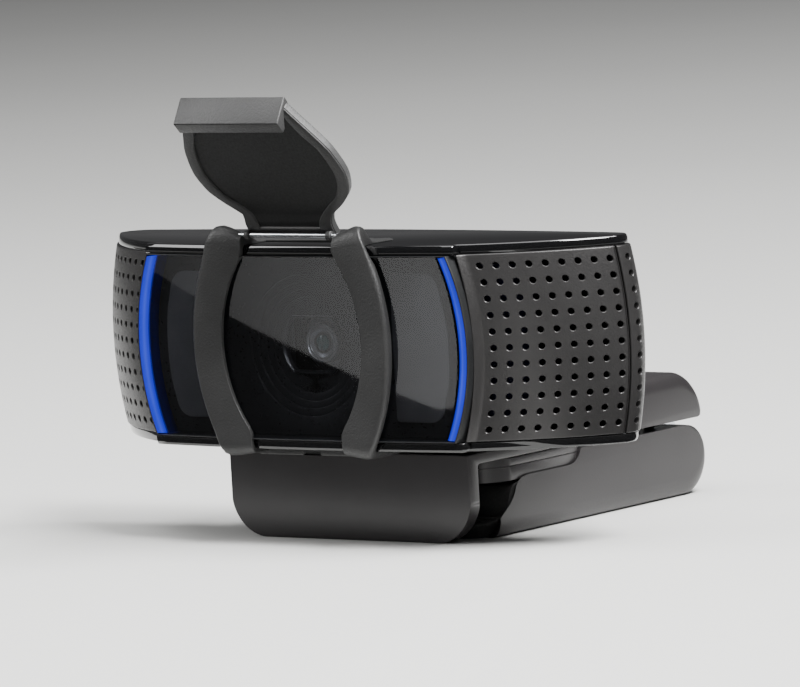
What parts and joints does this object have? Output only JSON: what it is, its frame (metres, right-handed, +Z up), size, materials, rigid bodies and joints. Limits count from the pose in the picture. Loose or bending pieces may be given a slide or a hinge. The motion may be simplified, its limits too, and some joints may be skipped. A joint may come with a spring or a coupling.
{
  "type": "webcam",
  "caption": "Wide webcam with perforated grilles, lit window edges and a flip-up lens shutter, standing on its folded monitor clip with a tripod thread.",
  "frame": {"origin": "mouth of the tripod thread in the underside of the folded leg, on the plane the camera stands on", "axes": "+Z up, the lens looks along -Y, +X runs along the head to its right-hand end as seen from the front"},
  "size_m": [0.094, 0.0826, 0.0653],
  "materials": {
    "bezel_textured": "fine textured dark moulding",
    "window": "smoked gloss window",
    "light_pipe": "blue light pipe",
    "panel_film": "dark grey printed film",
    "mask_black": "matt black moulding",
    "gunmetal": "satin gunmetal paint on a perforated moulding",
    "piano_black": "piano black gloss",
    "rear_plastic": "satin dark grey moulding",
    "chassis_plastic": "natural glass-filled moulding",
    "steel": "plain steel",
    "polished_steel": "polished steel",
    "circuit_board": "green solder mask",
    "sensor": "image sensor under glass",
    "led": "clear light emitter",
    "brass": "brass",
    "rubber": "matt black rubber",
    "shutter_plastic": "fine textured black moulding",
    "lens_glass": "coated lens glass",
    "anodised": "dark anodised ring",
    "clip_plastic": "satin dark grey moulding"
  },
  "bodies": {
    "clip": {"clip_arm": "clip_plastic", "arm_bottom_plate": "clip_plastic", "arm_screws": "steel", "platform_pad": "rubber", "jaw_pad": "rubber", "hinge_brackets": "polished_steel", "tilt_pin": "steel", "tilt_washers": "steel"},
    "head": {"faceplate_bezel": "bezel_textured", "front_glass": "window", "light_strip_left": "light_pipe", "light_strip_right": "light_pipe", "side_panel_left": "panel_film", "side_panel_right": "panel_film", "lens_surround": "mask_black", "aperture_frame": "mask_black", "grille_left": "gunmetal", "grille_right": "gunmetal", "top_trim": "piano_black", "bottom_trim": "piano_black", "rear_shell": "rear_plastic", "chassis": "chassis_plastic", "chassis_screws": "steel", "main_board": "circuit_board", "shield_can": "steel", "sensor_board": "circuit_board", "image_sensor": "sensor", "autofocus_housing": "mask_black", "status_leds": "led", "microphones": "brass", "mic_gaskets": "rubber", "cable_gland": "rubber", "tilt_knuckle": "clip_plastic", "shutter_frame": "shutter_plastic", "shutter_pin": "polished_steel"},
    "lens_group": {"lens_barrel": "mask_black", "front_lens": "lens_glass", "inner_lens": "lens_glass", "lens_retainer": "anodised"},
    "flap": {"shutter_flap": "shutter_plastic"},
    "leg": {"leg_shell": "clip_plastic", "leg_hinge_pin": "polished_steel", "leg_nose_pad": "rubber", "leg_grip_pad": "rubber", "tripod_insert": "brass"}
  },
  "joints": [
    {"name": "head_tilt", "type": "hinge", "parent": "clip", "child": "head", "pos_m": [0, -0.0028, 0.015], "axis": [1, 0, 0], "range_deg": [-25, 4]},
    {"name": "flap_hinge", "type": "hinge", "parent": "head", "child": "flap", "pos_m": [0, -0.0294, 0.04475], "axis": [1, 0, 0], "range_deg": [-20, 140.5]},
    {"name": "focus_slide", "type": "slide", "parent": "head", "child": "lens_group", "axis": [0, -1, 0], "range_m": [0, 0.0003]},
    {"name": "leg_fold", "type": "hinge", "parent": "clip", "child": "leg", "pos_m": [0, 0.035, 0.0052], "axis": [1, 0, 0], "range_deg": [0, 120]}
  ]
}
